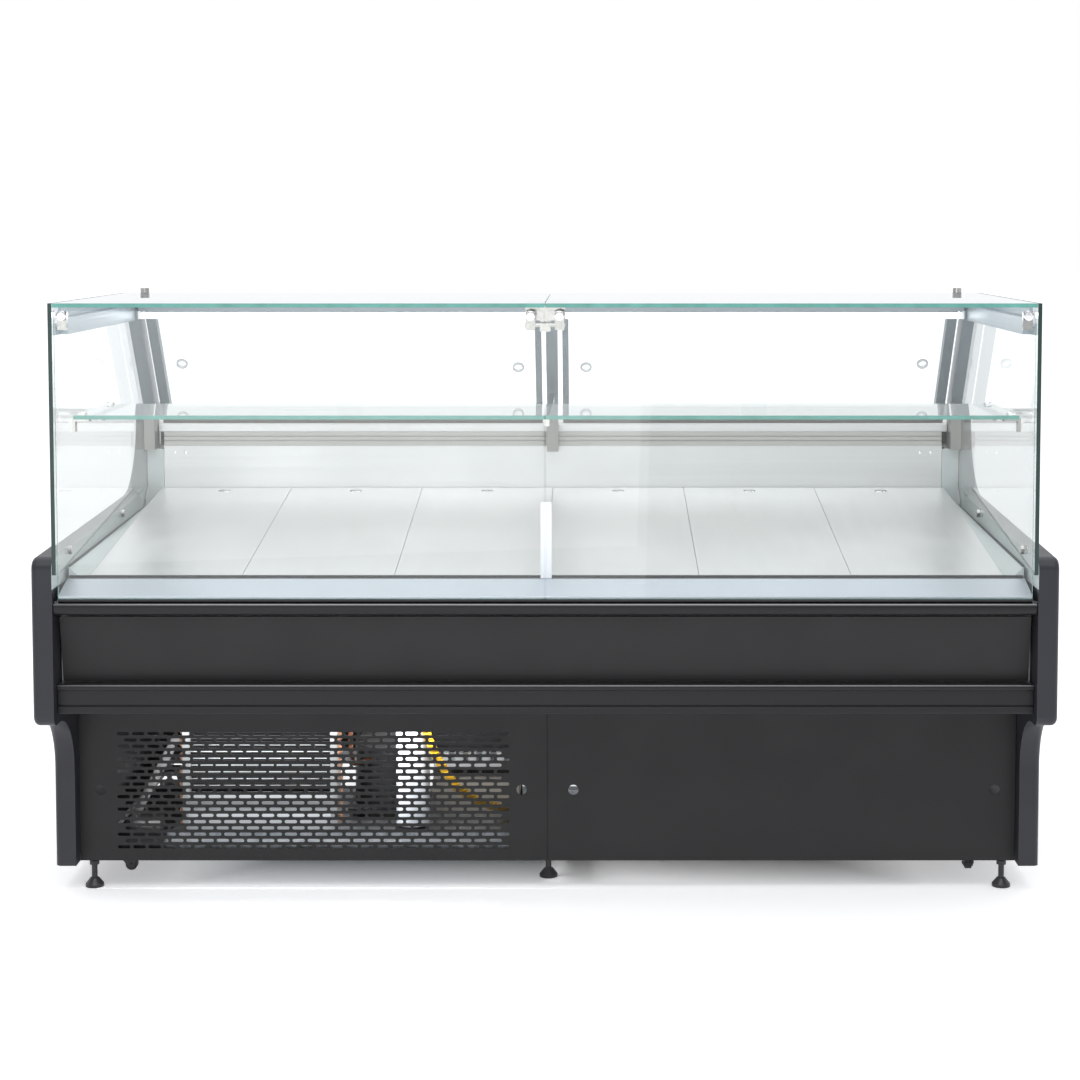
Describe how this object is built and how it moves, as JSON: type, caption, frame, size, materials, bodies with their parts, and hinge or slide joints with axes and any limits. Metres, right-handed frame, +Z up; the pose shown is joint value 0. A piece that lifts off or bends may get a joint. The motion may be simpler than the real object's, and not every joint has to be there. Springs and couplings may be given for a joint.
{
  "type": "refrigerated deli case",
  "caption": "Serve-over refrigerated counter with straight tilting front glass, glass shelf, sloping steel deck, sliding rear doors and a slotted machine compartment.",
  "frame": {"origin": "on the floor under the middle of the case's bounding box", "axes": "+X along the counter to the customer's right, +Y towards the service side, +Z up"},
  "size_m": [2, 1.12, 1.222],
  "materials": {
    "charcoal_moulding": "satin",
    "graphite_sheet": "satin",
    "graphite_trim": "satin",
    "clear_glass": "polished",
    "satin_aluminium": "satin",
    "frame_aluminium": "satin",
    "rail_aluminium": "satin",
    "stainless_steel": "satin",
    "lining_sheet": "satin",
    "bright_fittings": "polished",
    "tub_skin": "satin",
    "galvanised_steel": "satin",
    "black_enamel": "satin",
    "fin_aluminium": "satin",
    "copper_tube": "satin",
    "black_plastic": "matte",
    "lamp_white": "gloss",
    "control_plastic": "satin",
    "drain_plastic": "satin",
    "yellow_conduit": "satin"
  },
  "bodies": {
    "cabinet": {"end_panel_left": "charcoal_moulding", "end_panel_right": "charcoal_moulding", "front_bumper": "graphite_trim", "fascia_panel": "graphite_sheet", "lower_trim": "graphite_trim", "front_sill": "satin_aluminium", "kick_plate_left": "graphite_sheet", "kick_plate_right": "graphite_sheet", "rear_panels": "graphite_sheet", "insulated_tub": "tub_skin", "rear_riser": "stainless_steel", "side_liners": "lining_sheet", "end_glass_panes": "clear_glass", "top_glass_panes": "clear_glass", "shelf_panes": "clear_glass", "top_frame": "satin_aluminium", "rear_frame": "frame_aluminium", "glass_fittings": "bright_fittings", "lamp_tube": "lamp_white", "rear_rail": "rail_aluminium", "rear_worktop": "stainless_steel", "control_box": "control_plastic", "base_frame": "galvanised_steel", "condenser_coil": "fin_aluminium", "compressor": "black_enamel", "refrigerant_tubes": "copper_tube", "wiring_conduit": "yellow_conduit", "drain_spout": "drain_plastic", "evaporator_coil": "fin_aluminium"},
    "front_glass_left": {"front_glass_left": "clear_glass", "hinge_clamps_left": "bright_fittings"},
    "front_glass_right": {"front_glass_right": "clear_glass", "hinge_clamps_right": "bright_fittings"},
    "rear_door_1": {"rear_door_1": "clear_glass"},
    "rear_door_2": {"rear_door_2": "clear_glass"},
    "rear_door_3": {"rear_door_3": "clear_glass"},
    "rear_door_4": {"rear_door_4": "clear_glass"},
    "deck_plate_1": {"deck_plate_1": "stainless_steel"},
    "deck_plate_2": {"deck_plate_2": "stainless_steel"},
    "deck_plate_3": {"deck_plate_3": "stainless_steel"},
    "deck_plate_4": {"deck_plate_4": "stainless_steel"},
    "deck_plate_5": {"deck_plate_5": "stainless_steel"},
    "deck_plate_6": {"deck_plate_6": "stainless_steel"},
    "foot_front_left": {"foot_front_left": "black_enamel"},
    "foot_front_centre": {"foot_front_centre": "black_enamel"},
    "foot_front_right": {"foot_front_right": "black_enamel"},
    "foot_rear_left": {"foot_rear_left": "black_enamel"},
    "foot_rear_centre": {"foot_rear_centre": "black_enamel"},
    "foot_rear_right": {"foot_rear_right": "black_enamel"},
    "castor_fork_front_left": {"castor_fork_front_left": "black_enamel"},
    "castor_wheel_front_left": {"castor_wheel_front_left": "black_plastic"},
    "castor_fork_front_right": {"castor_fork_front_right": "black_enamel"},
    "castor_wheel_front_right": {"castor_wheel_front_right": "black_plastic"},
    "castor_fork_rear_left": {"castor_fork_rear_left": "black_enamel"},
    "castor_wheel_rear_left": {"castor_wheel_rear_left": "black_plastic"},
    "castor_fork_rear_right": {"castor_fork_rear_right": "black_enamel"},
    "castor_wheel_rear_right": {"castor_wheel_rear_right": "black_plastic"},
    "condenser_fan": {"condenser_fan": "black_plastic"},
    "evaporator_fan": {"evaporator_fan": "black_plastic"},
    "lamp_switch": {"lamp_switch": "control_plastic"}
  },
  "joints": [
    {"name": "front_glass_left_tilt", "type": "hinge", "parent": "cabinet", "child": "front_glass_left", "pos_m": [-0.475, -0.542, 1.168], "axis": [-1, 0, 0], "range_deg": [0, 85]},
    {"name": "front_glass_right_tilt", "type": "hinge", "parent": "cabinet", "child": "front_glass_right", "pos_m": [0.475, -0.542, 1.168], "axis": [-1, 0, 0], "range_deg": [0, 85]},
    {"name": "rear_door_1_slide", "type": "slide", "parent": "cabinet", "child": "rear_door_1", "axis": [1, 0, 0], "range_m": [0, 0.398]},
    {"name": "rear_door_2_slide", "type": "slide", "parent": "cabinet", "child": "rear_door_2", "axis": [-1, 0, 0], "range_m": [0, 0.398]},
    {"name": "rear_door_3_slide", "type": "slide", "parent": "cabinet", "child": "rear_door_3", "axis": [1, 0, 0], "range_m": [0, 0.398]},
    {"name": "rear_door_4_slide", "type": "slide", "parent": "cabinet", "child": "rear_door_4", "axis": [-1, 0, 0], "range_m": [0, 0.398]},
    {"name": "deck_plate_1_lift", "type": "slide", "parent": "cabinet", "child": "deck_plate_1", "axis": [0, 0, 1], "range_m": [0, 0.08]},
    {"name": "deck_plate_2_lift", "type": "slide", "parent": "cabinet", "child": "deck_plate_2", "axis": [0, 0, 1], "range_m": [0, 0.08]},
    {"name": "deck_plate_3_lift", "type": "slide", "parent": "cabinet", "child": "deck_plate_3", "axis": [0, 0, 1], "range_m": [0, 0.08]},
    {"name": "deck_plate_4_lift", "type": "slide", "parent": "cabinet", "child": "deck_plate_4", "axis": [0, 0, 1], "range_m": [0, 0.08]},
    {"name": "deck_plate_5_lift", "type": "slide", "parent": "cabinet", "child": "deck_plate_5", "axis": [0, 0, 1], "range_m": [0, 0.08]},
    {"name": "deck_plate_6_lift", "type": "slide", "parent": "cabinet", "child": "deck_plate_6", "axis": [0, 0, 1], "range_m": [0, 0.08]},
    {"name": "foot_front_left_screw", "type": "slide", "parent": "cabinet", "child": "foot_front_left", "axis": [0, 0, -1], "range_m": [-0.008, 0.02]},
    {"name": "foot_front_centre_screw", "type": "slide", "parent": "cabinet", "child": "foot_front_centre", "axis": [0, 0, -1], "range_m": [-0.008, 0.02]},
    {"name": "foot_front_right_screw", "type": "slide", "parent": "cabinet", "child": "foot_front_right", "axis": [0, 0, -1], "range_m": [-0.008, 0.02]},
    {"name": "foot_rear_left_screw", "type": "slide", "parent": "cabinet", "child": "foot_rear_left", "axis": [0, 0, -1], "range_m": [-0.008, 0.02]},
    {"name": "foot_rear_centre_screw", "type": "slide", "parent": "cabinet", "child": "foot_rear_centre", "axis": [0, 0, -1], "range_m": [-0.008, 0.02]},
    {"name": "foot_rear_right_screw", "type": "slide", "parent": "cabinet", "child": "foot_rear_right", "axis": [0, 0, -1], "range_m": [-0.008, 0.02]},
    {"name": "castor_front_left_swivel", "type": "hinge", "parent": "cabinet", "child": "castor_fork_front_left", "pos_m": [-0.88, -0.26, 0.057], "axis": [0, 0, 1], "continuous": true},
    {"name": "castor_front_left_roll", "type": "hinge", "parent": "castor_fork_front_left", "child": "castor_wheel_front_left", "pos_m": [-0.873, -0.26, 0.027], "axis": [0, 1, 0], "continuous": true},
    {"name": "castor_front_right_swivel", "type": "hinge", "parent": "cabinet", "child": "castor_fork_front_right", "pos_m": [0.88, -0.26, 0.057], "axis": [0, 0, 1], "continuous": true},
    {"name": "castor_front_right_roll", "type": "hinge", "parent": "castor_fork_front_right", "child": "castor_wheel_front_right", "pos_m": [0.88, -0.253, 0.027], "axis": [1, 0, 0], "continuous": true},
    {"name": "castor_rear_left_swivel", "type": "hinge", "parent": "cabinet", "child": "castor_fork_rear_left", "pos_m": [-0.88, 0.4, 0.057], "axis": [0, 0, 1], "continuous": true},
    {"name": "castor_rear_left_roll", "type": "hinge", "parent": "castor_fork_rear_left", "child": "castor_wheel_rear_left", "pos_m": [-0.887, 0.4, 0.027], "axis": [0, 1, 0], "continuous": true},
    {"name": "castor_rear_right_swivel", "type": "hinge", "parent": "cabinet", "child": "castor_fork_rear_right", "pos_m": [0.88, 0.4, 0.057], "axis": [0, 0, 1], "continuous": true},
    {"name": "castor_rear_right_roll", "type": "hinge", "parent": "castor_fork_rear_right", "child": "castor_wheel_rear_right", "pos_m": [0.88, 0.407, 0.027], "axis": [1, 0, 0], "continuous": true},
    {"name": "condenser_fan_spin", "type": "hinge", "parent": "cabinet", "child": "condenser_fan", "pos_m": [-0.597, -0.196, 0.224], "axis": [0, 1, 0], "continuous": true},
    {"name": "evaporator_fan_spin", "type": "hinge", "parent": "cabinet", "child": "evaporator_fan", "pos_m": [0.24, -0.13, 0.54], "axis": [0, 1, 0], "continuous": true},
    {"name": "lamp_switch_rock", "type": "hinge", "parent": "cabinet", "child": "lamp_switch", "pos_m": [0.72, 0.551, 0.76], "axis": [1, 0, 0], "range_deg": [-7, 7]}
  ]
}
